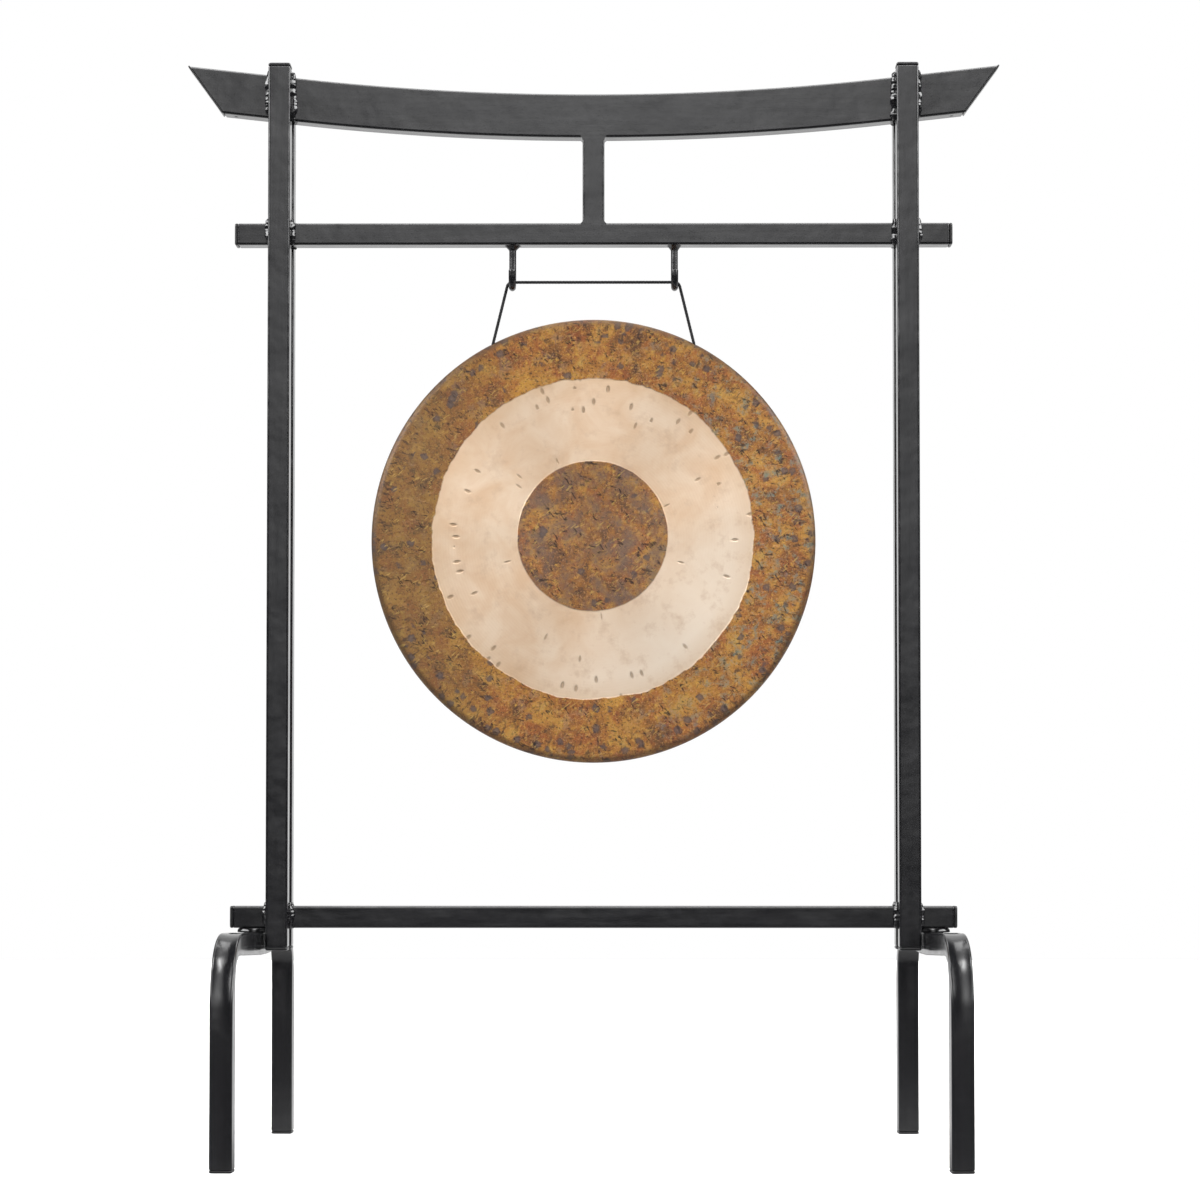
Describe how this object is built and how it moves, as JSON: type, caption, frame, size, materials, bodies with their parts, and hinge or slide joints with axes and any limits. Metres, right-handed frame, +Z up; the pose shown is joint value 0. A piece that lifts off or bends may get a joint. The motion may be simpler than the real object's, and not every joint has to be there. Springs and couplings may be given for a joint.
{
  "type": "gong stand",
  "caption": "Free-standing gong stand of black square steel tube with a bowed top beam, arched feet and hooks, and a round bronze gong hung from them on a cord.",
  "frame": {"origin": "on the floor, under the middle of the frame, at the centre plane of the beams", "axes": "+Z up, +X to the right as seen from the front, +Y to the back; the gong faces -Y"},
  "size_m": [0.934, 0.5154, 1.2463],
  "materials": {
    "black_paint": "satin black powder coat",
    "cap_plastic": "moulded black",
    "spacer_plastic": "smooth glossy black",
    "bolt_steel": "black oxide",
    "gong_bronze": "hammered bronze with dark patina and a turned bright ring",
    "cord": "twisted black synthetic cord"
  },
  "bodies": {
    "stand": {"front_post_left": "black_paint", "front_post_right": "black_paint", "rear_post_left": "black_paint", "rear_post_right": "black_paint", "top_beam": "black_paint", "top_beam_end_plate_left": "black_paint", "top_beam_end_plate_right": "black_paint", "middle_beam": "black_paint", "centre_strut": "black_paint", "bottom_bar": "black_paint", "hook_left": "black_paint", "hook_right": "black_paint", "foot_arch_left": "black_paint", "foot_arch_right": "black_paint", "front_post_top_cap_left": "cap_plastic", "front_post_top_cap_right": "cap_plastic", "rear_post_top_cap_left": "cap_plastic", "rear_post_top_cap_right": "cap_plastic", "front_post_bottom_cap_left": "cap_plastic", "front_post_bottom_cap_right": "cap_plastic", "rear_post_bottom_cap_left": "cap_plastic", "rear_post_bottom_cap_right": "cap_plastic", "middle_beam_cap_left": "cap_plastic", "middle_beam_cap_right": "cap_plastic", "bottom_bar_cap_left": "cap_plastic", "bottom_bar_cap_right": "cap_plastic", "foot_cap_front_left": "cap_plastic", "foot_cap_front_right": "cap_plastic", "foot_cap_rear_left": "cap_plastic", "foot_cap_rear_right": "cap_plastic", "foot_spacer_left": "spacer_plastic", "foot_spacer_right": "spacer_plastic", "foot_bolt_left": "bolt_steel", "foot_bolt_right": "bolt_steel", "foot_nut_left": "bolt_steel", "foot_nut_right": "bolt_steel"},
    "cord": {"suspension_cord": "cord"},
    "gong": {"gong": "gong_bronze", "cord_knot_left": "cord", "cord_knot_right": "cord"}
  },
  "joints": [
    {"name": "gong_swing", "type": "hinge", "parent": "stand", "child": "cord", "pos_m": [0, -0.012, 1.0003], "axis": [1, 0, 0], "range_deg": [-30, 30]},
    {"name": "gong_tilt", "type": "hinge", "parent": "cord", "child": "gong", "pos_m": [0, -0.012, 0.9223], "axis": [1, 0, 0], "range_deg": [-10, 10]}
  ]
}
